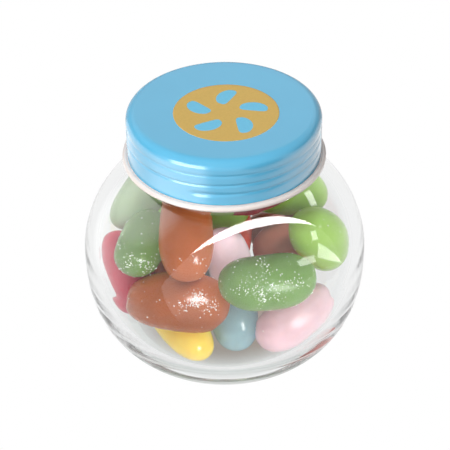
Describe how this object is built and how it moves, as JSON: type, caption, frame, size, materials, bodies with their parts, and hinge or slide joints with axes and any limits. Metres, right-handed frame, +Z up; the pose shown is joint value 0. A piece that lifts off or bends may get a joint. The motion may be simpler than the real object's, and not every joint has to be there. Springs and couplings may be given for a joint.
{
  "type": "jar of jelly beans",
  "caption": "Small round clear glass jar of mixed sugar-coated jelly beans, shut with a low light blue metal screw lid that has a pale rolled edge.",
  "frame": {"origin": "centre of the jar's base, on the surface it stands on", "axes": "+Z up along the jar's axis, -Y towards the front side that the picture shows"},
  "size_m": [0.056, 0.056, 0.0531],
  "materials": {
    "jar_glass": "clear moulded soda-lime glass, smooth",
    "lid_lacquer": "glossy light blue lacquer on tinplate, cream lacquer on the rolled edge",
    "shell_caramel": "translucent brown sugar shell",
    "shell_green": "translucent green sugar shell with sugar grains",
    "shell_pale_green": "translucent pale green sugar shell",
    "shell_lime": "translucent lime green sugar shell",
    "shell_pink": "opaque light pink sugar shell",
    "shell_blush": "opaque pinkish white sugar shell",
    "shell_grey_blue": "greyish blue sugar shell",
    "shell_yellow": "warm yellow sugar shell",
    "shell_magenta": "deep pink translucent sugar shell",
    "shell_cola": "mauve brown sugar shell",
    "shell_moss": "dark green sugar shell",
    "shell_orange": "orange red sugar shell",
    "shell_wine": "wine red sugar shell",
    "shell_rust": "reddish brown sugar shell"
  },
  "bodies": {
    "root": {"glass_jar": "jar_glass", "metal_lid": "lid_lacquer", "bean_caramel_upright": "shell_caramel", "bean_caramel_lying": "shell_caramel", "bean_caramel_back": "shell_caramel", "bean_green_front": "shell_green", "bean_green_left": "shell_green", "bean_pink_front": "shell_pink", "bean_grey_blue_front": "shell_grey_blue", "bean_mint_low": "shell_grey_blue", "bean_yellow_front": "shell_yellow", "bean_yellow_low": "shell_yellow", "bean_magenta_left": "shell_magenta", "bean_magenta_low": "shell_magenta", "bean_pale_green_left": "shell_pale_green", "bean_pale_green_back": "shell_pale_green", "bean_lime_right": "shell_lime", "bean_lime_high": "shell_lime", "bean_cola_right": "shell_cola", "bean_cola_low": "shell_cola", "bean_blush_middle": "shell_blush", "bean_moss_middle": "shell_moss", "bean_moss_back": "shell_moss", "bean_orange_middle": "shell_orange", "bean_orange_low": "shell_orange", "bean_wine_top": "shell_wine", "bean_rust_middle": "shell_rust"}
  },
  "joints": []
}
